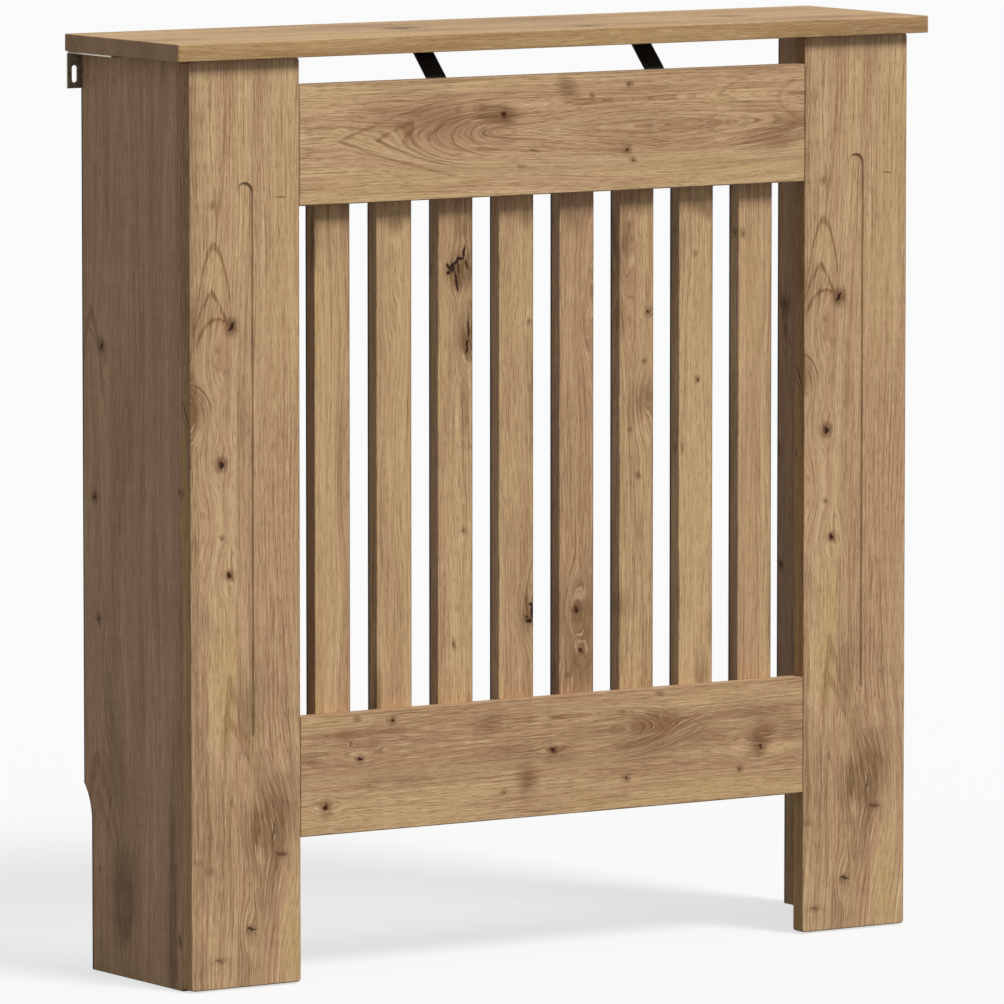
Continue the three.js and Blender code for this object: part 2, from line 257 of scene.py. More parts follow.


# The print of one board. Its axes give, for across, along and through the board, the object axis,
# the direction and where it starts. The rest is in board millimetres and degrees. A place is
# (across, along, reach across, reach along) and its turn, if it has one. After the place stand
# for an arch, the line of one ring, its pointedness, width and darkness,
# for a knot the size of its heart from 0.7 up, for a crack its darkness, and
# for a shade an amount that darkens or, below 0, pales.
# Bends are hills in the grain (across, along, reach, down, up, lift, part) that rings rise over and
# part round. Edge lines are dark lines beside an edge: painted shade along feet and lower edges,
# elsewhere a darker line along the edge. Cut is painted light on a routed wall that stands in
# shade (from, to, across the board, and the groove's depth). Depth shade is painted shade that
# darkens the colour deeper into the board, and shift moves the print across, leans it and moves it along.
def oakFinish(name, board):
    board = {**plainPrint, **board}
    oak = Finish(name)
    point = oak.parts(oak.place())
    across, along, through = ((point[axis] - start) * way for axis, way, start in board["axes"])
    sawn = {"across": across, "along": along, "through": through}
    if "shift" in board:
        aside, lean, onward = board["shift"]
        across = across + along * lean + aside
        along = along + onward
    flat = across + through * oakLook["wrap"]
    block = oak.vector(flat, along, through)
    face = oak.vector(flat, along, 0)

    def noise(kind, place):
        reach, seed, *detail = oakNoises[kind]
        return oak.noise(place, reach, board["seed"] + seed, *detail)

    grain = flat + (noise("swell", block) - 0.5) * board["swell"]
    grain = grain + (noise("ripple", block) - 0.5) * board["ripple"]
    for acrossAt, alongAt, reach, down, up, lift, part in board["bends"]:
        hill = oak.hill(flat - acrossAt, along - alongAt, reach, down, up)
        if part:
            grain = hill * lift - hill.rise(0, 0.5) * (flat - acrossAt) * part + grain
        else:
            grain = hill.rise(0, 1) * lift + grain
    fibre = oak.vector(grain, along, through)

    # depth shade is painted shade: the colour darkens deeper into the board
    shade = (noise("shade", block) - 0.5) * oakLook["mottle"] + through * board["depthShade"]
    for *spot, amount in board["shades"]:
        shade = oak.spot(face, *spot).rise(0, 1) * amount + shade
    # where the colour turns darker: stains in the wood, and painted shade from depth shade and from the
    # spots that stand for shadow
    stainAndShade = shade.maths("MAXIMUM", 0).maths("MINIMUM", oakLook["darkest"])
    pale = (shade * -1).maths("MAXIMUM", 0)
    contrast = board["contrast"]
    calm = (1 - pale.maths("MINIMUM", oakLook["palest"])) * (1 - stainAndShade * stainAndShade) * contrast

    # broad bands, growth rings with one hard side, thin veins, fibres, pores and pale flecks
    bands = noise("bands", fibre).rise(0.38, 0.62)
    saw = (grain * (1 / board["pitch"]) + noise("drift", fibre) * oakLook["drift"]).maths("FRACT")
    strength = noise("strength", block).rise(0.38, 0.64) * 0.75 + 0.25
    rings = saw.rise(0.5, 0.92) * (1 - saw.rise(0.92, 1)) * strength * calm
    veins = (1 - (noise("veins", fibre) - 0.5).maths("ABSOLUTE").rise(0.005, 0.05)) * calm
    fibres = noise("fibres", fibre) - 0.5
    pores = noise("pores", fibre).rise(0.54, 0.66)
    flecks = noise("flecks", fibre).rise(0.55, 0.68)

    rough = noise("rough", block) - 0.5

    def ragged(far):
        return oak.vector(rough * far[0] + flat, rough * far[1] + along, 0)

    frayed, torn = ragged(oakLook["frayed"]), ragged(oakLook["torn"])
    knots = cracks = arches = 0
    for *spot, dark in board["knots"]:
        knots = (oak.spot(frayed, *spot) * dark).maths("MAXIMUM", knots)
    for *spot, dark in board["cracks"]:
        cracks = (oak.spot(torn, *spot).rise(0.05, 0.5) * dark).maths("MAXIMUM", cracks)
    for *where, point, width, dark in board["arches"]:
        arch = oak.arch(torn, *where, point=point, width=width)
        arches = (arch * dark).maths("MAXIMUM", arches)

    colour = oak.blend(bands, board["straw"], board["blush"])
    colour = oak.blend(pale, colour, oakColours["pale"])
    figure = rings * board["ringing"] + veins * board["veining"]
    figure = figure + fibres * (oakLook["fibres"] * contrast) + oakLook["ground"]
    colour = oak.blend(figure, colour, oakColours["ring"])
    if arches:
        colour = oak.blend(arches * (fibres * 2 + 0.9), colour, oakColours["ring"])
    colour = oak.blend(stainAndShade * (fibres * contrast + 0.92), colour, board["stainAndShade"])
    colour = oak.blend(pores * (oakLook["pores"] * contrast), colour, oakColours["pore"])
    colour = oak.blend(flecks * (oakLook["flecks"] * contrast), colour, oakColours["fleck"])
    height = flecks * 0.3 - pores - rings * 0.4
    if knots:
        turns = (knots * 6 + rough * 3).maths("FRACT").rise(0.3, 0.95)
        colour = oak.blend(knots.rise(0, 0.5) * (turns * 0.3 + 0.38), colour, oakColours["halo"])
        colour = oak.blend(knots.rise(0.52, 0.72), colour, oakColours["rim"])
        colour = oak.blend(knots.rise(0.68, 0.82), colour, oakColours["heart"])
        height = height - knots.rise(0.6, 0.8) * oakLook["hollow"]
    if cracks:
        cracks = cracks * (1 - through.rise(*oakLook["crackDepth"]))
        colour = oak.blend(cracks, colour, oakColours["heart"])
        height = height - cracks * oakLook["hollow"]
    # Painted light: the routed wall faces away from the lamp and is lightened to look lit
    if "cut" in board:
        low, high, depth = board["cut"]
        wall = sawn["across"].rise(low, low + 1) * (1 - sawn["across"].rise(high, high + 1))
        wall = wall * through.rise(0.1, 0.4) * (1 - through.rise(depth - 0.3, depth - 0.05))
        colour = oak.blend(wall * oakLook["cut"], colour, oakColours["cut"])
    # Dark lines beside edges: painted shade along the posts' feet and the rails' lower edges, elsewhere a
    # darker line along the edge
    for line in board["edgeLines"]:
        near = (sawn[line["axis"]] - line["edge"]) * line["way"]
        band = (1 - near.rise(line["width"] * 0.7, line["width"] * 1.3)) * near.rise(0.02, 0.15)
        if "top" in line:
            band = band * (1 - along.rise(line["top"], line["top"] + 20))
        colour = oak.blend(band * (rough + 1) * line["dark"], colour, oakColours["edgeLines"])
    values = {
        "Base Color": colour,
        "Roughness": pores * 0.12 + fibres * 0.1 + oakLook["roughness"],
        "Specular IOR Level": oakLook["specular"],
    }
    return oak.surface(values, height, oakLook["relief"])


# Both posts carry this print, the right one a little shifted
stilePrint = {
    "seed": 5.1, "straw": tone(210, 178, 134), "blush": tone(191, 155, 120), "stainAndShade": tone(116, 86, 57),
    "swell": 16, "ripple": 1.8,
    "bends": [
        (24, 545, 21, 60, 90, 9, 0.6), (30, 453, 14, 30, 34, 1, 0.8), (38, 358, 18, 30, 40, 1, 0.8),
        (-4, 500, 26, 50, 44, 14, 0.8), (20, 400, 24, 60, 60, -9, 0), (106, 118, 60, 130, 130, -13, 0),
        (74, 140, 26, 50, 50, 0, 0.25), (59, 51, 14, 30, 34, 1, 0.6),
    ],
    "arches": [
        (24, 560, 18, 81, 1.8, 0.12, 0.75), (21.5, 556, 21, 46, 1.25, 0.12, 0.8),
        (30, 555, 24, 24, 20, 1.7, 0.16, 0.8), (-3, 494, 24, 30, -8, 2, 0.09, 0.9),
        (-3, 490, 17, 24, -8, 2, 0.14, 0.6), (28, 900, 10, 228, 180, 2.2, 0.16, 0.45),
        (48, 186, 11, 76, 6, 1.5, 0.34, 0.5), (52, 170, 15, 66, 14, 1.5, 0.26, 0.45),
        (56, 196, 7, 26, 1.4, 0.4, 0.45),
    ],
    "knots": [
        (41.5, 572, 9.5, 10, -20, 0.8), (31, 454, 8.5, 9.5, 0.92), (38.3, 358.3, 7, 7, 0.92),
        (90, 114, 14, 8, 0.62), (22.5, 676.5, 5, 6, 0.7), (6, 112, 9, 5, 0.5), (18, 104, 8, 5, 0.5),
        (28, 26, 13, 6, 0.5), (31, 391, 3.6, 5, 0.74), (40, 162, 4, 6, 0.66), (59.5, 51, 9, 6, 10, 0.66),
    ],
    "cracks": [
        (41.8, 572, 1.7, 6.5, -38, 1), (31.5, 452.5, 3, 2.2, 1), (82.6, 135, 1.3, 11, -6, 0.7),
        (91, 114, 8, 1.8, -8, 0.55), (59.5, 51.5, 6.5, 1.8, -14, 0.85), (90.5, 680.7, 8, 1.2, 0.5),
        (38.3, 358.3, 2, 2, 1), (27, 26, 6, 1.4, -10, 0.45),
    ],
    "shades": [
        (80, 142, 36, 64, -20, 1.05), (66, 62, 20, 84, -14, 0.6), (57, 250, 20, 60, 0.5),
        (0, 500, 20, 46, 0.9), (10, 585, 12, 50, -12, 0.4), (31, 454, 10, 11, 1), (42, 573, 14, 15, 0.9),
        (38, 358, 9, 10, 0.7), (34, 272, 17, 110, -1.7), (102, 42, 18, 96, -1.2), (26, 622, 16, 40, -0.9),
        (94, 590, 40, 260, -0.5), (20, 130, 36, 130, 0.35), (92, 250, 30, 120, 0.25),
        (52, 480, 10, 160, 0.4), (24, 320, 7, 100, 0.2), (50, 740, 30, 80, -0.4), (8, 700, 12, 120, 0.25),
        (60, 140, 90, 180, 0.2), (1, 400, 9, 700, 0.5), (85, 600, 9, 190, -0.5), (34, 640, 8, 160, -0.4),
        (63, 210, 9, 150, 0.3), (12, 745, 8, 32, 0.5), (10, 14, 22, 46, 0.5), (60, 8, 14, 28, 0.5),
        (37, 234, 9, 26, -0.8), (6, 389, 8, 28, 0.5), (70, 184, 10, 30, 0.4), (86, 291, 10, 36, -0.6),
        (13, 321, 8, 30, 0.45),
    ],
}

# Both side panels, across from the wall edge
sidePrint = {
    "straw": tone(197, 160, 122), "blush": tone(183, 144, 111), "contrast": 0.75, "swell": 18,
    "ripple": 2,
    "bends": [
        (60, 170, 60, 90, 120, -10, 0), (26, 310, 14, 28, 40, 1, 0.7), (20, 415, 14, 28, 40, 1, 0.7),
        (30, 520, 22, 60, 90, 8, 0.5),
    ],
    "arches": [
        (40, 60, 30, 125, 8, 1.6, 0.2, 0.45), (44, 40, 26, 112, 10, 1.6, 0.2, 0.35),
        (16, 490, 20, 84, 1.5, 0.16, 0.6), (22, 525, 16, 38, 20, 1.5, 0.18, 0.5),
    ],
    "knots": [
        (32.5, 547, 9, 10, -20, 0.8), (20, 415, 8, 9, 0.92), (26.5, 309, 7, 7.5, 0.9),
        (162, 430, 5, 6, 0.8), (27, 89.5, 4, 5, 0.64), (161, 43, 7, 10, 0.66),
    ],
    "cracks": [
        (33, 546, 1.7, 6, -40, 1), (20, 414, 2.4, 2.2, 1), (26.5, 309, 2, 2, 1), (50, 343, 0.9, 16, 0.4),
        (162, 321, 1, 18, 0.5), (161, 220, 0.9, 18, 4, 0.6), (161, 43, 1.2, 10, 20, 0.8),
        (155, 16, 0.9, 20, 0.6),
    ],
    "shades": [
        (67, 72, 38, 76, -6, 0.95), (71, 56, 18, 40, -10, 0.6), (149, 50, 12, 220, 1.3),
        (160, 150, 8, 150, 0.3), (56, 170, 18, 60, 14, 0.4), (66, 420, 30, 90, 0.25),
        (20, 660, 14, 90, 0.3), (100, 560, 9, 60, 0.25), (118, 720, 10, 90, 0.35), (118, 375, 9, 90, 0.4),
        (44, 690, 7, 110, 0.35), (54, 215, 12, 80, 16, 0.45), (32, 547, 15, 16, 0.5),
        (20, 415, 11, 12, 0.4), (26, 310, 10, 10, 0.35), (100, 250, 9, 90, 0.3), (4, 600, 7, 300, 0.3),
        (78, 500, 7, 130, 0.25), (160, 700, 8, 240, 0.3), (46, 210, 18, 170, 0.3), (12, 94, 10, 44, 0.35),
        (152, 212, 9, 50, 0.3), (35, 544, 12, 24, 0.3), (130, 0, 50, 16, -0.8),
    ],
}

# The posts' side edges, across from the back
edgingPrint = {
    "seed": 7.7, "straw": tone(186, 150, 98), "blush": tone(165, 128, 85), "contrast": 0.8,
    "knots": [(2, 430, 5, 6, 0.8)],
    "cracks": [(7.5, 499, 1.1, 16, 24, 0.9), (5, 492, 0.9, 10, 30, 0.6), (12, 330, 0.9, 20, 0.5)],
    "shades": [(7, 640, 22, 300, 0.5), (14, 460, 9, 40, 0.5)],
}

# The rails, across from their lower edge and along from the left
upperRailPrint = {
    "seed": 21.7, "straw": tone(211, 179, 134), "blush": tone(193, 156, 120), "stainAndShade": tone(126, 88, 60),
    "swell": 14, "ripple": 1.6,
    "bends": [
        (56, 205, 40, 168, 4000, 34, 0.9), (34, 384, 60, 220, 200, 12, 0), (35, 338, 9, 22, 22, 1, 0.6),
    ],
    "arches": [
        (54, 190, 40, 148, 180, 1.15, 0.05, 0.5), (53, 190, 30, 110, 180, 1.3, 0.06, 0.55),
        (52, 190, 24, 84, 180, 1.7, 0.07, 0.6), (52, 190, 21, 73, 180, 1.9, 0.07, 0.6),
        (52, 195, 18, 64, 180, 2, 0.08, 0.6), (53, 205, 17, 50, 180, 2, 0.1, 0.6),
        (54, 212, 14, 38, 180, 2, 0.12, 0.5), (72, 560, 26, 63, 184, 1.8, 0.1, 0.3),
        (84, 470, 12, 34, 176, 1.4, 0.16, 0.3),
    ],
    "knots": [
        (70.5, 209, 10, 10, 0.9), (71, 209, 10, 24, 0.6), (92.5, 339, 5, 6, 0.8), (84, 300, 4, 4.5, 0.72),
        (35.5, 336.5, 7, 8, 0.84), (26, 343, 5, 6, 0.78), (39, 238.5, 3, 6, 0.7), (25, 227, 3, 7, 0.66),
    ],
    "cracks": [(70, 209.5, 1.6, 1.6, 0.8)],
    "shades": [
        (72, 202, 14, 38, 8, 1.1), (68, 135, 32, 110, 8, 0.7), (92, 274, 16, 22, 40, 1),
        (48, 510, 28, 90, -22, 0.9), (50, 350, 26, 170, 0.25), (14, 100, 20, 170, -0.7),
        (14, 440, 22, 170, -0.9), (76, 440, 24, 90, -0.5), (88, 40, 18, 80, -0.2),
        (84, 380, 12, 70, 0.25), (40, 40, 12, 60, -0.3), (61, 520, 14, 32, -0.6), (86, 100, 9, 56, -0.6),
        (37, 345, 10, 24, -0.4), (70, 352, 10, 60, -0.5), (7, 14, 14, 44, -0.6),
    ],
}
lowerRailPrint = {
    "seed": 29.2, "stainAndShade": tone(124, 86, 60), "swell": 14, "ripple": 1.6,
    "bends": [
        (70, 330, 28, 4000, 90, 25, 0.9), (67, 60, 13, 30, 34, 1, 0.6), (24, 26, 13, 22, 24, 2, 0.7),
        (57.5, 260, 12, 24, 26, 1, 0.7), (46, 478, 20, 40, 40, 2, 0.5),
    ],
    "arches": [
        (70, 300, 20, 93, 1.5, 0.05, 0.6), (70, 300, 17, 84, 1.8, 0.05, 0.65),
        (70, 300, 15, 75, 1.9, 0.06, 0.6), (70, 300, 13, 66, 2, 0.06, 0.5),
        (70, 300, 11, 56, 2, 0.07, 0.45), (67, 300, 26, 120, 1.4, 0.05, 0.4),
    ],
    "knots": [
        (63.7, 60, 6, 7, 0.94), (95.4, 93.5, 7.5, 8, 0.84), (23.7, 25.5, 13, 10, 0.8),
        (57.5, 260, 7.5, 8, 0.94), (45.4, 479, 14, 11, 0.7), (26.4, 457.5, 6, 6.5, 0.76),
        (27.4, 336.7, 5.5, 7, 0.76), (24, 208, 5.5, 6.5, 0.68), (100, 372, 4.5, 7, 0.66),
        (99, 57, 4.5, 6, 0.66),
    ],
    "cracks": [
        (24.5, 24, 5, 1.6, 20, 0.9), (45, 480, 4, 1.2, 20, 0.7), (63.7, 60, 1.6, 1.8, 1),
        (57.5, 260, 1.8, 2, 0.9),
    ],
    "shades": [
        (84, 194, 17, 26, -35, 0.7), (34, 233, 25, 18, 0.9), (52, 480, 28, 20, 35, 1),
        (72, 370, 22, 90, 0.8), (76, 70, 24, 140, 0.5), (78, 480, 18, 80, 0.6), (66, 8, 10, 20, 0.5),
        (42, 100, 18, 120, 0.45), (8, 130, 18, 130, -0.8), (3, 6, 18, 34, -0.9), (10, 420, 22, 170, -0.9),
        (98, 420, 14, 150, -0.5), (46, 30, 8, 40, -0.6), (96, 30, 14, 60, -0.35), (60, 216, 20, 50, 0.4),
        (40, 360, 14, 140, 0.2), (70, 280, 16, 60, 0.3), (58, 515, 16, 40, 0.7), (58, 440, 12, 60, 0.5),
        (53, 370, 12, 80, 0.5), (50, 266, 10, 34, 0.5), (6, 520, 14, 46, -0.6), (11, 280, 14, 60, -0.6),
        (103, 410, 8, 40, 0.4),
    ],
}

# The slats from left to right. Their dark spots at about 640 to 655 along are painted shadow below the
# upper rail, deepening the shadow it casts.
slatPrints = [
    {
        "contrast": 0.8,
        "bends": [(30, 430, 14, 100, 100, 5, 0)],
        "shades": [
            (25, 430, 8, 160, 0.35), (8, 560, 16, 80, -0.5), (14, 330, 18, 120, -0.5),
            (20, 640, 18, 30, 0.2), (1, 640, 8, 46, 0.6), (1, 240, 7, 50, -0.8), (34, 622, 7, 26, -0.6),
        ],
    },
    {
        "ripple": 3.5, "contrast": 0.8,
        "bends": [(18, 600, 16, 80, 70, 3, 0.3), (22, 540, 15, 60, 66, -4, 0)],
        "shades": [
            (18, 610, 16, 60, 0.3), (20, 430, 22, 160, -0.7), (16, 290, 18, 60, -0.5),
            (19, 652, 16, 16, 0.7), (1, 240, 7, 50, 0.9), (20, 234, 8, 16, -0.6), (16, 567, 9, 24, 0.4),
        ],
    },
    {
        "bends": [(21, 608, 18, 34, 38, 2, 0.5), (30, 550, 16, 40, 40, 3, 0.45)],
        "knots": [
            (12, 609, 9, 11, 0.72), (23, 609, 14, 18, 0.56), (31, 550, 13, 26, 0.6),
            (26.5, 380.7, 4, 6, 0.76), (16, 282, 3.4, 9, 0.76),
        ],
        "cracks": [
            (26.8, 624, 1.6, 9, -10, 1), (23, 618.4, 4.4, 2.2, 1), (18.4, 615.5, 2.6, 7, -48, 1),
            (15, 610.5, 3.4, 5, 1), (11, 611.5, 1.8, 6, 40, 1), (11, 606.5, 3.4, 2.6, 30, 1),
            (18.9, 598.5, 1.7, 14, 10, 1), (29.8, 612.5, 1.6, 5, 16, 0.9), (24, 596, 0.8, 5, 8, 0.4),
            (31.5, 556, 1.4, 10, 1), (29.8, 541.5, 1.5, 9, -7, 1), (21, 611, 1.4, 9, 4, 0.8),
        ],
        "shades": [
            (23, 608, 17, 26, 1.2), (31, 549, 14, 32, 1.2), (27, 488, 7, 40, 0.55),
            (6, 560, 9, 100, -0.9), (26, 645, 20, 20, 0.6), (28, 420, 8, 60, 0.2),
            (10, 400, 12, 120, -0.5), (33, 575, 10, 16, 0.5), (34, 615, 8, 40, 0.7),
            (1, 245, 8, 40, -0.8), (1, 488, 7, 40, -0.8),
        ],
    },
    {
        "pitch": 2.8,
        "bends": [(36, 304, 22, 46, 50, 4, 0.8)],
        "knots": [(31.5, 559.5, 5, 5, 0.66), (40, 303, 14, 14, 0.96), (33, 300, 9, 8, 20, 0.7)],
        "cracks": [
            (34.4, 306, 2.2, 9, 1), (31.5, 297.5, 5.5, 2.2, -6, 1), (33.5, 312, 3, 2, 1),
            (29, 301, 2, 2, 0.9),
        ],
        "shades": [
            (32, 310, 15, 42, 0.8), (14, 580, 18, 80, -0.6), (16, 430, 18, 80, -0.5),
            (28, 650, 16, 16, 0.6), (34, 512, 7, 60, 0.6), (26, 302, 10, 26, 0.4), (34, 460, 6, 34, 0.4),
        ],
    },
    {
        "straw": tone(195, 161, 121),
        "bends": [
            (32, 590, 14, 100, 90, 7, 0.4), (17.5, 304, 18, 34, 60, 4, 0.85),
            (22.5, 268, 14, 24, 20, 2, 0.85), (28, 555, 12, 40, 30, 3, 0.4),
        ],
        "knots": [(17.5, 304.5, 8.5, 8, 0.94), (22.5, 268.5, 6, 6.5, 0.92), (9, 248, 5, 5, 0.66)],
        "shades": [
            (20, 300, 34, 60, 0.7), (20, 250, 34, 30, 0.6), (18, 420, 40, 150, 0.2),
            (16, 648, 16, 26, 0.6), (34, 588, 8, 30, -0.5), (22, 456, 9, 24, -0.4), (28, 277, 8, 18, 0.4),
            (34, 355, 6, 26, 0.4),
        ],
    },
    {
        "bends": [(6, 600, 16, 100, 200, 10, 0.5), (28, 484, 18, 50, 50, 5, 0.6)],
        "knots": [
            (30, 562.7, 6.5, 7, 0.84), (26.7, 519, 4, 5, 0.7), (11.3, 459.5, 4, 5, 0.74),
            (19.5, 419.5, 4.4, 6, 0.76),
        ],
        "shades": [
            (24, 488, 18, 36, -24, 0.8), (6, 628, 9, 60, -10, 0.7), (3, 560, 6, 26, 0.7),
            (24, 630, 14, 60, -0.5), (20, 430, 18, 40, 0.1), (30, 390, 10, 80, -0.3),
            (22, 372, 9, 50, 0.6), (34, 470, 7, 26, 0.5), (2, 307, 8, 26, 0.5), (9, 455, 8, 22, -0.5),
            (11, 306, 10, 24, 0.3),
        ],
    },
    {
        # depth shade: painted shade, the side faces darker towards the back
        "straw": tone(205, 173, 129), "blush": tone(188, 152, 116), "contrast": 0.85, "depthShade": 0.035,
        "knots": [(18, 612, 4, 5, 0.7), (19.5, 500.7, 4.6, 6, 0.82), (4, 440, 3.6, 8, 0.64)],
        "shades": [
            (30, 648, 16, 14, 0.7), (3, 630, 6, 38, 0.35), (22, 540, 20, 100, -0.9),
            (16, 380, 18, 150, -0.8), (4, 440, 5, 60, 0.35), (1, 510, 7, 40, -0.9),
            (24, 240, 14, 30, 0.6), (20, 655, 14, 14, 0.5), (34, 280, 8, 34, 0.5),
        ],
    },
    {
        # depth shade: painted shade, the side faces darker towards the back
        "straw": tone(207, 175, 131), "blush": tone(188, 152, 117), "contrast": 0.8, "depthShade": 0.03,
        "knots": [(4.5, 628, 4.6, 7, 0.78)],
        "bends": [(28, 470, 15, 130, 130, 5, 0)],
        "shades": [
            (33, 480, 6, 170, 0.45), (16, 560, 18, 120, -0.6), (12, 360, 16, 120, -0.55),
            (34, 270, 8, 120, 0.7), (14, 450, 9, 26, -0.5),
        ],
    },
]

# The shelf, across from its front edge and along from the left
shelfPrint = {
    # depth shade here is painted shade, the front edge darker towards the bottom
    "seed": 2.3, "straw": tone(189, 156, 108), "blush": tone(176, 141, 98), "depthShade": 0.016,
    "ringing": 0.24, "veining": 0.14, "contrast": 0.65,
    "bends": [
        (100, 280, 30, 66, 66, 8, 0.7), (37, 442, 20, 50, 50, 6, 0.7), (120, 560, 50, 250, 200, 14, 0),
    ],
    "knots": [(98, 285, 20, 22, 0.84), (38, 442, 14, 18, 0.8), (92, 627, 12, 14, 0.7)],
    # The wide spot at (130, 400) covers the whole top and is painted shade, the top darker against the
    # front edge
    "shades": [
        (98, 288, 30, 36, 0.9), (58, 300, 18, 60, 0.55), (40, 442, 22, 30, 0.8),
        (42, 500, 13, 50, 4, 0.5), (92, 627, 24, 34, 0.6), (150, 270, 20, 90, 3, 0.55),
        (178, 205, 16, 100, -3, 0.5), (60, 30, 40, 70, 0.4), (165, 60, 30, 90, -0.3),
        (150, 460, 30, 90, 0.4), (130, 400, 110, 620, 0.3), (40, 700, 30, 60, 0.5),
        (120, 560, 30, 90, -0.5),
    ],
}

# The same board seen on its end grain
shelfEndPrint = {
    **shelfPrint, "knots": [], "bends": [], "shades": [], "straw": tone(168, 134, 101),
    "blush": tone(157, 123, 92), "contrast": 0.3, "depthShade": 0,
}

# How many facets follow each kind of curve, and the angles, in degrees, from which
# an edge is rounded and from which shading keeps it hard
facets = {
    "corner": 5, "arris": 3, "stripArris": 2,
    "slot": 48, "sweep": 12, "bend": 6, "screw": 24, "seat": 32,
}
sharpness = {"arris": 50, "shading": 38}


# Rounds the edges that a test picks out
def roundEdges(bm, radius, segments, chosen):
    edges = [edge for edge in bm.edges if chosen(edge)]
    shape = {"offset": radius * mm, "offset_type": "OFFSET", "segments": segments, "profile": 0.5}
    bmesh.ops.bevel(bm, geom=edges, affect="EDGES", material=-1, **shape)


def alongAxis(axis):
    def test(edge):
        run = (edge.verts[1].co - edge.verts[0].co).normalized()
        return abs(run[axis]) > 0.999

    return test


def isArris(edge):
    return len(edge.link_faces) == 2 and edge.calc_face_angle(0) > math.radians(sharpness["arris"])


# Draws faces out along a path and gives back the faces at its end
def drawOut(bm, faces, path):
    grown = bmesh.ops.extrude_face_region(bm, geom=faces)["geom"]
    moved = [part for part in grown if isinstance(part, bmesh.types.BMVert)]
    bmesh.ops.translate(bm, verts=moved, vec=path)
    return facesOf(grown)


def facesOf(parts):
    return [part for part in parts if isinstance(part, bmesh.types.BMFace)]


def asObject(name, bm):
    bmesh.ops.recalc_face_normals(bm, faces=bm.faces)
    mesh = bpy.data.meshes.new(name)
    bm.to_mesh(mesh)
    bm.free()
    made = bpy.data.objects.new(name, mesh)
    bpy.context.scene.collection.objects.link(made)
    return made


# Takes the cutters' shapes out of a piece
def carve(piece, cutters):
    for cutter in cutters:
        cut = piece.modifiers.new("cut", "BOOLEAN")
        cut.object = cutter
        cut.solver = "EXACT"
    shaped = piece.evaluated_get(bpy.context.evaluated_depsgraph_get())
    mesh = bpy.data.meshes.new_from_object(shaped)
    piece.modifiers.clear()
    mesh.name = piece.name
    piece.data = mesh
    for cutter in cutters:
        bpy.data.objects.remove(cutter)


# Smooths a piece, gives it its finish and puts it in its node's place
def fitPiece(piece, node, slot, *finishes):
    piece.data.materials.clear()
    for finish in finishes:
        piece.data.materials.append(finish)
    piece.data.shade_smooth()
    piece.data.set_sharp_from_angle(angle=math.radians(sharpness["shading"]))
    flat = piece.modifiers.new("flat faces", "WEIGHTED_NORMAL")
    flat.keep_sharp = True
    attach(piece, "root")
    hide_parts(node)


# Gives the second finish to the faces that pass a test
def paintFaces(piece, chosen):
    for face in piece.data.polygons:
        face.material_index = int(chosen(face))


# Faces that look to one side
def isEdge(face):
    return abs(face.normal.x) > 0.75


boardLook = {"arris": 0.8, "corner": 3}


# A board that fills its solid's box, with the corners along one axis rounded
def newBoard(node, corner=None):
    low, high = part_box(node)
    bm = bmesh.new()
    fill = Matrix.Translation((low + high) / 2) @ Matrix.Diagonal((*(high - low), 1))
    bmesh.ops.create_cube(bm, size=1, matrix=fill)
    if corner is not None:
        roundEdges(bm, boardLook["corner"], facets["corner"], alongAxis(corner))
    roundEdges(bm, boardLook["arris"], facets["arris"], isArris)
    return asObject(node + "_board", bm)


# A round-ended slot, upright in the front plane, that reaches so far to both sides of it
def slotCutter(slot, reach, centre):
    bm = bmesh.new()
    radius = slot["width"] / 2 * mm
    straight = (slot["length"] - slot["width"]) / 2 * mm
    rim = bmesh.ops.create_circle(bm, cap_ends=True, segments=facets["slot"], radius=radius)
    for vert in rim["verts"]:
        vert.co.y += straight if vert.co.y > -1e-6 else -straight
    drawOut(bm, bm.faces[:], (0, 0, 2 * reach * mm))
    bmesh.ops.translate(bm, verts=bm.verts, vec=(0, 0, -reach * mm))
    stand = Matrix.Translation(centre) @ Matrix.Rotation(math.pi / 2, 4, "X")
    bmesh.ops.transform(bm, verts=bm.verts, matrix=stand)
    return asObject("slot", bm)


# A countersunk screw about +Y, its head flush at the origin, with a cross recess
screw = {
    "head": 3.5,
    "sink": 2,
    "flatShort": 0.25,  # how far the head's flat stops short of its rim
    "rim": (0.2, 0.35, 0.1),  # the rim's upper and lower height, and how far it draws in
    "shank": 1.75,
    "neck": 1.5,  # plain length under the head
    "pitch": 1.2,
    "crest": 0.35,  # half a thread's height
    "root": 0.78,  # a share of the shank, as at the tip
    "tipRoot": 0.8,
    "tip": 4,
    "cross": 1.9,
    "crossWidth": 0.45,
    "crossDepth": 1.3,
    "crossTaper": 0.35,
    "square": 1.41,  # a four-sided cone's corner over its side
}
seat = {"clearance": 0.12, "above": 1, "depth": 0.25, "bottom": 2.4}  # the cutter, about the head


def revolved(name, profile, steps):
    bm = bmesh.new()
    points = [bm.verts.new((radius * mm, height * mm, 0)) for radius, height in profile]
    rim = [bm.edges.new(pair) for pair in zip(points, points[1:])]
    turned = {"axis": (0, 1, 0), "cent": (0, 0, 0), "angle": math.tau, "steps": steps}
    bmesh.ops.spin(bm, geom=points + rim, use_merge=True, **turned)
    bmesh.ops.remove_doubles(bm, verts=bm.verts, dist=1e-6)
    return asObject(name, bm)


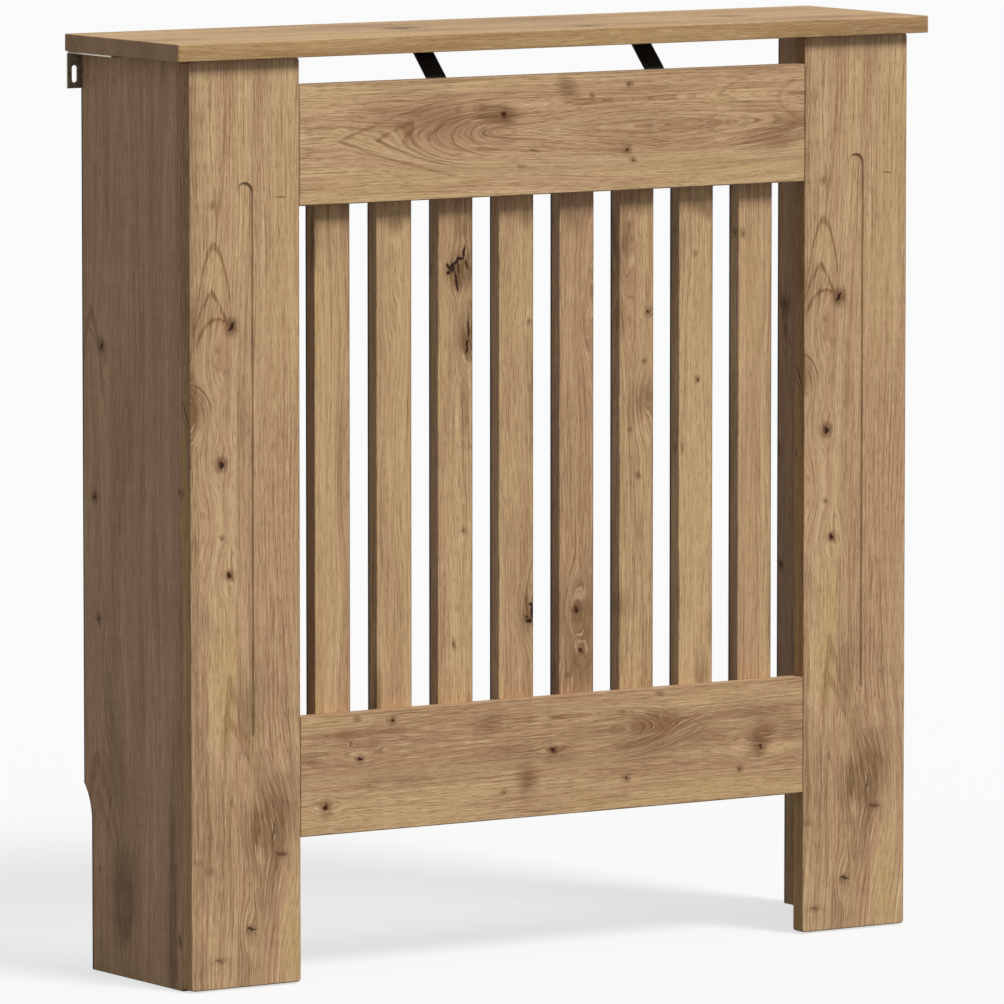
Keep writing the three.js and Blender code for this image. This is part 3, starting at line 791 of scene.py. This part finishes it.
def newScrew(name, length):
    head, sink, shank = screw["head"], screw["sink"], screw["shank"]
    upper, lower, drawn = screw["rim"]
    root, tip = shank * screw["root"], length - screw["tip"]
    thread = []
    height = sink + screw["neck"]
    while height < tip:
        crest = height + screw["crest"]
        thread += [(root, height), (shank, crest), (root, crest + screw["crest"])]
        height += screw["pitch"]
    profile = [(0, 0), (head - screw["flatShort"], 0), (head, upper), (head - drawn, lower)]
    profile += [(shank, sink), *thread, (shank * screw["tipRoot"], tip), (0, length)]
    piece = revolved(name, profile, facets["screw"])
    arms = []
    square = screw["square"]
    cross = Vector((screw["cross"] * square, screw["crossWidth"] * square, screw["crossDepth"]))
    for turn in (0, math.pi / 2):
        bm = bmesh.new()
        shape = {"segments": 4, "radius1": 1, "radius2": screw["crossTaper"], "depth": 2}
        made = bmesh.ops.create_cone(bm, cap_ends=True, **shape)["verts"]
        laid = Matrix.Rotation(turn, 4, "Y") @ Matrix.Rotation(-math.pi / 2, 4, "X")
        bmesh.ops.rotate(bm, verts=made, cent=(0, 0, 0), matrix=Matrix.Rotation(math.pi / 4, 3, "Z"))
        bmesh.ops.scale(bm, verts=made, vec=cross * mm)
        bmesh.ops.transform(bm, verts=made, matrix=laid)
        arms.append(asObject("recess", bm))
    carve(piece, arms)
    return piece


def pointing(direction, at):
    turned = Vector((0, 1, 0)).rotation_difference(Vector(direction))
    return Matrix.Translation(at) @ turned.to_matrix().to_4x4()


# The conical seat that a screw's head leaves in wood or sheet
def newSeat(direction, at):
    wide, depth = screw["head"] + seat["clearance"], seat["depth"]
    profile = [(0, -seat["above"]), (wide, -seat["above"]), (wide, depth)]
    profile += [(screw["shank"], screw["sink"] + depth), (0, seat["bottom"])]
    made = revolved("seat", profile, facets["seat"])
    made.data.transform(pointing(direction, at))
    return made


# Where a screw's head is, from its solid's box, and how long the screw is
def screwHead(node, direction):
    low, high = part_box(node)
    middle = (low + high) / 2
    axis = max(range(3), key=lambda i: abs(direction[i]))
    middle[axis] = low[axis] if direction[axis] > 0 else high[axis]
    return middle, (high - low)[axis] / mm


# Which way each screw is driven: the rails' and slats' to the front, the others up
forward, upward = (0, -1, 0), (0, 0, 1)
screwNodes = {
    node: forward if node.startswith("slat") or "rail" in node else upward
    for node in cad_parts
    if "screw" in node
}


# The seats of the screws of a piece
def seatsOf(*nodes):
    return [newSeat(screwNodes[node], screwHead(node, screwNodes[node])[0]) for node in nodes]


# The board axes of an upright piece of the front
def uprightAxes(low):
    return [(0, 1, low.x / mm), (2, 1, 0), (1, 1, low.y / mm)]


print("oak boards")

shelf = newBoard("top_panel", corner=2)
low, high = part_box("top_panel")
shelfAxes = [(1, 1, low.y / mm), (0, 1, low.x / mm), (2, -1, high.z / mm)]
shelfOak = oakFinish("oak shelf", {**shelfPrint, "axes": shelfAxes})
shelfEndOak = oakFinish("oak shelf end", {**shelfEndPrint, "axes": shelfAxes})
fitPiece(shelf, "top_panel", "oak", shelfOak, shelfEndOak)
paintFaces(shelf, isEdge)

# The sides are cut out at the foot of the wall edge for a skirting board
sidePanel = {"skirtingDepth": 13, "skirtingHeight": 130, "sweep": 47}
sidePrints = {"left": {"seed": 10}, "right": {"seed": 12, "shift": (8, 0, 0)}}
sideEdgeLines = {"width": 2.4, "dark": 0.9}


def newSide(node):
    low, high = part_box(node)
    notch = high.y - sidePanel["skirtingDepth"] * mm
    foot = sidePanel["skirtingHeight"] * mm
    centre = (low.x, notch + sidePanel["sweep"] * mm, foot)
    turned = math.acos(1 - sidePanel["skirtingDepth"] / sidePanel["sweep"])
    bm = bmesh.new()
    corner = bm.verts.new((low.x, notch, foot))
    sweep = {"axis": (1, 0, 0), "cent": centre, "angle": -turned, "steps": facets["sweep"]}
    path = [bmesh.ops.spin(bm, geom=[corner], **sweep)["geom_last"][0]]
    for y, z in ((high.y, high.z), (low.y, high.z), (low.y, low.z), (notch, low.z)):
        path.append(bm.verts.new((low.x, y, z)))
    for pair in zip(path, path[1:] + [corner]):
        bm.edges.new(pair)
    outline = bmesh.ops.contextual_create(bm, geom=bm.edges[:])["faces"]
    drawOut(bm, outline, (high.x - low.x, 0, 0))
    bmesh.ops.recalc_face_normals(bm, faces=bm.faces)
    roundEdges(bm, boardLook["arris"], facets["arris"], isArris)
    return asObject(node + "_board", bm)


for sign, side in ((-1, "left"), (1, "right")):
    node = "side_panel_" + side
    low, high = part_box(node)
    outside = low.x if sign < 0 else high.x
    wallEdge = {"axis": "across", "edge": 0, "way": 1, **sideEdgeLines}
    cutOut = {"edge": sidePanel["skirtingDepth"], "top": sidePanel["skirtingHeight"]}
    board = {
        **sidePrint,
        **sidePrints[side],
        "axes": [(1, -1, high.y / mm), (2, 1, 0), (0, -sign, outside / mm)],
        "edgeLines": [wallEdge, {**wallEdge, **cutOut}],
    }
    fitPiece(newSide(node), node, "oak", oakFinish("oak side " + side, board))

# The posts have a shallow round-ended groove
groove = {
    "width": 17,
    "length": 482,
    "depth": 2,
    "foot": 213,
    "wall": (60, 64),  # across the board, where painted light lightens its shaded wall
}
postPrints = {"left": {}, "right": {"shift": (15.4, -0.0188, 4)}}
# The foot line is painted shade where the post stands on the floor; the side line is a faint darker line
# along its right edge
postEdgeLines = {"side": {"width": 1.2, "dark": 0.25}, "foot": {"width": 1, "dark": 0.6}}
for side in ("left", "right"):
    node = "front_post_" + side
    post = newBoard(node, corner=1)
    low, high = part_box(node)
    middle = (low.x + high.x) / 2
    centre = (middle, low.y, (groove["foot"] + groove["length"] / 2) * mm)
    carve(post, [slotCutter(groove, groove["depth"], centre)])
    board = {
        **stilePrint,
        **postPrints[side],
        "axes": uprightAxes(low),
        # painted light on the groove's shaded wall
        "cut": (*groove["wall"], groove["depth"]),
        "edgeLines": [
            {"axis": "across", "edge": (high.x - low.x) / mm, "way": -1, **postEdgeLines["side"]},
            {"axis": "along", "edge": low.z / mm, "way": 1, **postEdgeLines["foot"]},
        ],
    }
    edgeAxes = [(1, -1, high.y / mm), (2, 1, 0), (0, 1, low.x / mm)]
    edging = oakFinish("oak post edge " + side, {**edgingPrint, "axes": edgeAxes})
    fitPiece(post, node, "oak", oakFinish("oak post " + side, board), edging)
    # the groove's own walls keep the front's finish
    paintFaces(post, lambda face: isEdge(face) and abs(face.center.x - middle) > groove["width"] * mm)

# The foot line is painted shade along the rail's lower edge; the top line is a faint darker line along
# its top edge
railEdgeLines = {"top": {"width": 1.6, "dark": 0.25}, "foot": {"width": 1, "dark": 0.6}}
for node, grainPrint in (("rail_upper", upperRailPrint), ("rail_lower", lowerRailPrint)):
    rail = newBoard(node)
    low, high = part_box(node)
    board = {
        **grainPrint,
        "axes": [(2, 1, low.z / mm), (0, 1, low.x / mm), (1, 1, low.y / mm)],
        "edgeLines": [
            {"axis": "across", "edge": (high.z - low.z) / mm, "way": -1, **railEdgeLines["top"]},
            {"axis": "across", "edge": 0, "way": 1, **railEdgeLines["foot"]},
        ],
    }
    fitPiece(rail, node, "oak", oakFinish("oak " + node, board))

slatLook = {"seed": 31, "seedStep": 3.7}
slatEdgeLines = {"back": {"width": 2.7, "dark": 1}, "side": {"width": 1.3, "dark": 0.35}}
for number, grainPrint in enumerate(slatPrints, 1):
    node = f"slat_{number}"
    slat = newBoard(node)
    carve(slat, seatsOf(*(f"slat_screw_{number}_{end}" for end in ("lower", "upper"))))
    low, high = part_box(node)
    board = {
        **grainPrint,
        "seed": slatLook["seed"] + slatLook["seedStep"] * number,
        "axes": uprightAxes(low),
        "edgeLines": [
            {"axis": "through", "edge": (high.y - low.y) / mm, "way": -1, **slatEdgeLines["back"]},
            {"axis": "across", "edge": (high.x - low.x) / mm, "way": -1, **slatEdgeLines["side"]},
        ],
    }
    fitPiece(slat, node, "oak", oakFinish(f"oak slat {number}", board))

print("braces and wall brackets")

# Finishes without a print. A noise has its reach in millimetres, seed, detail and what it adds to
# the roughness. The first is the relief, and the last, cut to the window, mixes the colours.
smallFinishes = {
    # satin: a fine orange peel under a thin sheen
    "black powder coat": {
        "noises": [((0.9, 0.9, 0.9), 3, 2, 0.18), ((9, 9, 9), 5, 2, 0.1)],
        "colours": (tone(20, 21, 23), tone(31, 31, 34)),
        "surface": {"Specular IOR Level": 0.45},
        "roughness": 0.28,
        "relief": 0.06,
    },
    # dark and rolled: faint lines along the strip
    "gunmetal steel": {
        "noises": [((0.5, 14, 14), 1, 2, 0.2), ((5, 5, 5), 7, 3, 0.15)],
        "window": (0.3, 0.7),
        "colours": (tone(112, 105, 92), tone(148, 139, 122)),
        "surface": {"Metallic": 0.85},
        "roughness": 0.28,
        "relief": 0.03,
    },
    # the bright edge that stamping leaves
    "cut steel edge": {
        "noises": [((0.2, 0.35, 0.35), 2, 2, 0.25)],
        "colours": (tone(176, 164, 150), tone(222, 212, 198)),
        "surface": {"Metallic": 0.9},
        "roughness": 0.25,
        "relief": 0.03,
    },
    "bright zinc plate": {
        "noises": [((1.6, 1.6, 1.6), 4, 3, 0.3)],
        "window": (0.35, 0.65),
        "colours": (tone(170, 171, 168), tone(206, 206, 200)),
        "surface": {"Metallic": 0.95},
        "roughness": 0.2,
        "relief": 0.02,
    },
    "beech dowel": {
        "noises": [((2, 0.6, 0.6), 3, 2, 0.2)],
        "window": (0.4, 0.65),
        "colours": (tone(214, 178, 134), tone(184, 142, 98)),
        "roughness": 0.5,
        "relief": 0.05,
    },
}


def smallFinish(name):
    look = smallFinishes[name]
    made = Finish(name)
    place = made.place()
    noises = [made.noise(place, reach, seed, detail) for reach, seed, detail, _ in look["noises"]]
    mix = noises[-1].rise(*look["window"]) if "window" in look else noises[-1]
    roughness = look["roughness"]
    for noise, (*_, amount) in zip(noises, look["noises"]):
        roughness = noise * amount + roughness
    colour = made.blend(mix, *look["colours"])
    values = {"Base Color": colour, "Roughness": roughness, **look.get("surface", {})}
    return made.surface(values, noises[0], look["relief"])


coatFinish, steelFinish = smallFinish("black powder coat"), smallFinish("gunmetal steel")
edgeFinish, zincFinish = smallFinish("cut steel edge"), smallFinish("bright zinc plate")
beechFinish = smallFinish("beech dowel")


# A flat strip that starts upright and follows its steps: "go" is a straight run,
# and "bend" an angle about the strip's inner radius
def bentStrip(strip, start, steps):
    width, sheet = strip["width"] * mm, strip["sheet"] * mm
    bm = bmesh.new()
    ahead, side = Vector((0, 0, 1)), Vector((0, -1, 0))
    standing = Matrix((Vector((1, 0, 0)), side, ahead)).transposed().to_4x4()
    section = Matrix.Diagonal((width, sheet, 1, 1))
    made = bmesh.ops.create_grid(bm, x_segments=1, y_segments=1, size=0.5, matrix=section)
    bmesh.ops.transform(bm, verts=made["verts"], matrix=Matrix.Translation(start) @ standing)
    last = bm.faces[:]
    point = Vector(start)
    for kind, amount in steps:
        if kind == "go":
            last = drawOut(bm, last, ahead * amount)
            point += ahead * amount
        else:
            centre = point + side * math.copysign(strip["bend"] * mm + sheet / 2, amount)
            bend = {"axis": (1, 0, 0), "cent": centre, "angle": amount, "steps": facets["bend"]}
            last = facesOf(bmesh.ops.spin(bm, geom=last, **bend)["geom_last"])
            turnBy = Matrix.Rotation(amount, 3, "X")
            point = centre + turnBy @ (point - centre)
            ahead, side = turnBy @ ahead, turnBy @ side
    bmesh.ops.recalc_face_normals(bm, faces=bm.faces)
    roundEdges(bm, strip["arris"], facets["stripArris"], isArris)
    return bm


# What a bend takes off each of the straights that it joins
def savedBy(strip, angle):
    return (strip["bend"] + strip["sheet"] / 2) * math.tan(angle / 2) * mm


brace = {"width": 20, "sheet": 2, "bend": 2, "arris": 0.35, "angle": math.pi / 4}
for side in ("left", "right"):
    node = "brace_" + side
    low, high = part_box(node)
    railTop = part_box("rail_upper")[1].z
    half = brace["sheet"] * mm / 2
    slope = (high.z - half - railTop) * math.sqrt(2)
    saved = savedBy(brace, brace["angle"])
    topTab = high.y - (low.y + half + slope / math.sqrt(2))
    steps = [
        ("go", railTop - low.z - saved),
        ("bend", -brace["angle"]),
        ("go", slope - 2 * saved),
        ("bend", -brace["angle"]),
        ("go", topTab - saved),
    ]
    strip = bentStrip(brace, ((low.x + high.x) / 2, low.y + half, low.z), steps)
    piece = asObject(node + "_bar", strip)
    carve(piece, seatsOf(f"brace_rail_screw_{side}", f"brace_shelf_screw_{side}"))
    fitPiece(piece, node, "black_steel", coatFinish)

wallBracket = {"width": 14, "sheet": 1.5, "bend": 1.5, "arris": 0.2, "angle": math.pi / 2}
wallSlot = {"width": 5, "length": 15, "foot": 5, "reach": 4}
for side in ("left", "right"):
    node = "wall_bracket_" + side
    low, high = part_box(node)
    half = wallBracket["sheet"] * mm / 2
    saved = savedBy(wallBracket, wallBracket["angle"])
    middle = (low.x + high.x) / 2
    steps = [
        ("go", high.z - half - low.z - saved),
        ("bend", wallBracket["angle"]),
        ("go", high.y - half - low.y - saved),
    ]
    piece = asObject(node + "_angle", bentStrip(wallBracket, (middle, high.y - half, low.z), steps))
    slotMiddle = (middle, high.y, low.z + (wallSlot["foot"] + wallSlot["length"] / 2) * mm)
    seats = seatsOf(*(f"wall_bracket_screw_{side}_{end}" for end in ("front", "rear")))
    carve(piece, [slotCutter(wallSlot, wallSlot["reach"], slotMiddle), *seats])
    fitPiece(piece, node, "gunmetal_steel", steelFinish, edgeFinish)
    paintFaces(piece, isEdge)

print("screws and dowels")
patterns = {}  # one screw of each length, copied to its places
for node, way in screwNodes.items():
    at, length = screwHead(node, way)
    length = round(length, 2)
    if length not in patterns:
        pattern = newScrew("screw pattern", length)
        patterns[length] = pattern.data.copy()
        bpy.data.objects.remove(pattern)
    piece = bpy.data.objects.new(node + "_steel", patterns[length].copy())
    bpy.context.scene.collection.objects.link(piece)
    piece.data.transform(pointing(way, at))
    fitPiece(piece, node, "zinc_steel", zincFinish)
for node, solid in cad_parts.items():
    if "dowel" in node:
        solid.data.materials.clear()
        solid.data.materials.append(beechFinish)

print("stage and light")

# A pale floor, one broad lamp from the front right and an even sky
light = {
    "sun": (0.35, -1, 1.2),  # where the lamp is
    "colour": (1, 0.985, 0.96),
    "strength": 2.97,
    "spread": 21,  # degrees across, for the soft edge of the shelf's shadow
    "sky": (0.385, 0.4, 0.435),
    "white": 0.96,
}
stage = {
    "size": 60,
    "paint": 0.87,
    "bounce": 0.23,  # the paint as the cover's own light sees it
    "softness": 0.7,  # how much of the floor's shade the camera doesn't see
}

sun = bpy.data.objects.new("lamp", bpy.data.lights.new("lamp", "SUN"))
sun.data.energy = light["strength"]
sun.data.angle = math.radians(light["spread"])
sun.data.color = light["colour"]
sun.rotation_euler = Vector(light["sun"]).to_track_quat("Z", "Y").to_euler()
bpy.context.scene.collection.objects.link(sun)


def grey(value):
    return (value, value, value, 1)


# 1 for what the camera sees, directly or in metal
def seenRay(finish):
    rays = finish.node("ShaderNodeLightPath")
    seen = rays.output("Is Camera Ray")
    for kind in ("Is Glossy Ray", "Is Transmission Ray"):
        seen = seen.maths("MAXIMUM", rays.output(kind))
    return seen


def floorFinish():
    floor = Finish("pale floor")
    seen = seenRay(floor)
    paint = floor.blend(seen, grey(stage["bounce"]), grey(stage["paint"]))
    lit = floor.node("ShaderNodeBsdfDiffuse", {}, {"Color": paint})
    plain = floor.node("ShaderNodeEmission", {}, {"Color": grey(light["white"]), "Strength": 1})
    mixed = {0: seen * stage["softness"], 1: lit, 2: plain}
    floor.close(floor.node("ShaderNodeMixShader", {}, mixed))
    return floor.material


bm = bmesh.new()
bmesh.ops.create_grid(bm, x_segments=1, y_segments=1, size=stage["size"])
floor = asObject("floor", bm)
floor.data.materials.append(floorFinish())


class Sky(Finish):
    def __init__(self):
        world = bpy.data.worlds.new("sky")
        world.use_nodes = True
        bpy.context.scene.world = world
        self.tree = world.node_tree
        self.tree.nodes.clear()


sky = Sky()
glow = sky.blend(seenRay(sky), (*light["sky"], 1), grey(light["white"]))
background = sky.node("ShaderNodeBackground", {}, {"Color": glow, "Strength": 1})
sky.close(background, "ShaderNodeOutputWorld")

bpy.context.scene.view_settings.view_transform = "Standard"
print("finished")
